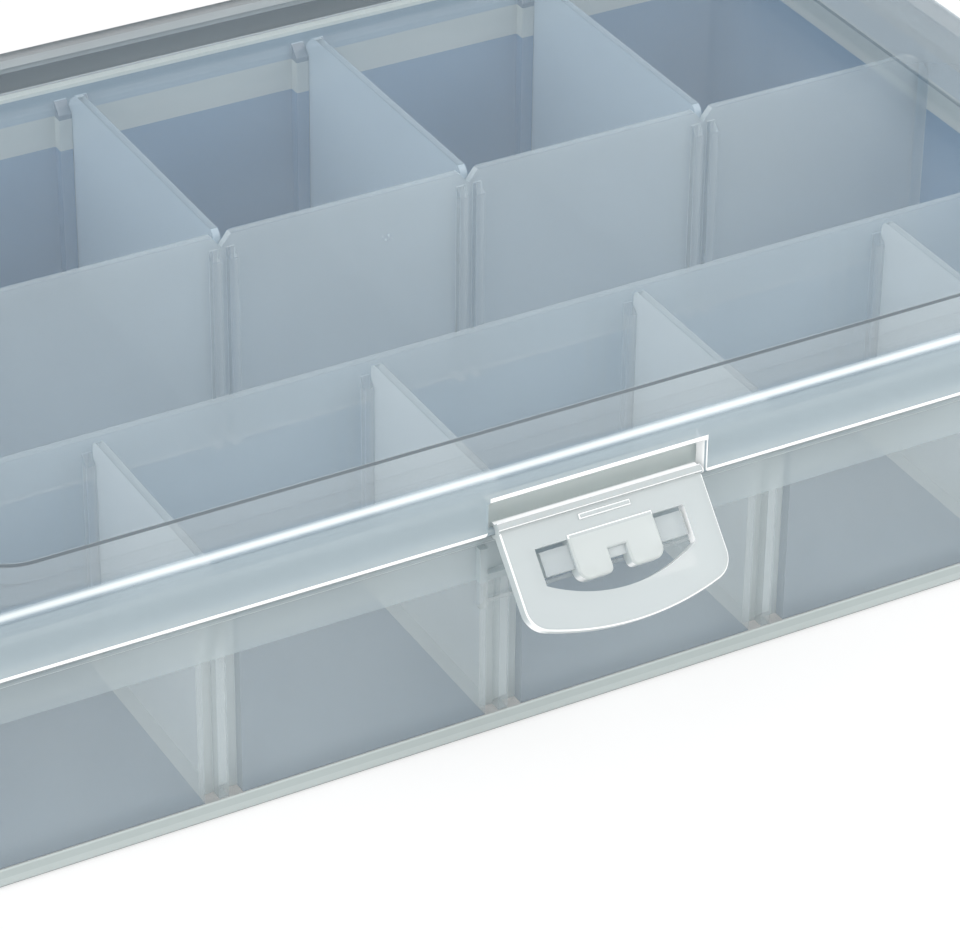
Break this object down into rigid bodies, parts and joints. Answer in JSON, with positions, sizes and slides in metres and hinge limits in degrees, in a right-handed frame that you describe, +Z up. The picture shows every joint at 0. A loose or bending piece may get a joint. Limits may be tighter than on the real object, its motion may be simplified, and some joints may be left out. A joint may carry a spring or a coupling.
{
  "type": "compartment box",
  "caption": "Shallow translucent box for beads, with a grid of compartments, removable dividers, a hinged lid with a recessed panel and a front latch.",
  "frame": {"origin": "centre of the tray's flat underside", "axes": "+X along the front from left to right, +Y from the latch to the hinge, +Z up"},
  "size_m": [0.1852, 0.1334, 0.0379],
  "materials": {
    "tray_plastic": "frosted translucent polypropylene, injection moulded",
    "lid_plastic": "frosted translucent polypropylene with a smooth top",
    "divider_plastic": "frosted translucent polypropylene sheet",
    "latch_plastic": "milky natural polypropylene",
    "pin_steel": "drawn steel wire"
  },
  "bodies": {
    "tray": {"base_tray": "tray_plastic", "hinge_pin": "pin_steel", "divider_front_1": "divider_plastic", "divider_front_2": "divider_plastic", "divider_front_3": "divider_plastic", "divider_front_4": "divider_plastic", "divider_rear_1": "divider_plastic", "divider_rear_2": "divider_plastic", "divider_rear_3": "divider_plastic", "divider_rear_4": "divider_plastic"},
    "lid": {"lid": "lid_plastic"},
    "latch": {"latch": "latch_plastic"}
  },
  "joints": [
    {"name": "lid_hinge", "type": "hinge", "parent": "tray", "child": "lid", "pos_m": [0, 0.0608, 0.026], "axis": [-1, 0, 0], "range_deg": [0, 180]},
    {"name": "latch_swing", "type": "hinge", "parent": "lid", "child": "latch", "pos_m": [-0.0048, -0.0596, 0.0296], "axis": [-1, 0, 0], "range_deg": [-42, 80]}
  ]
}
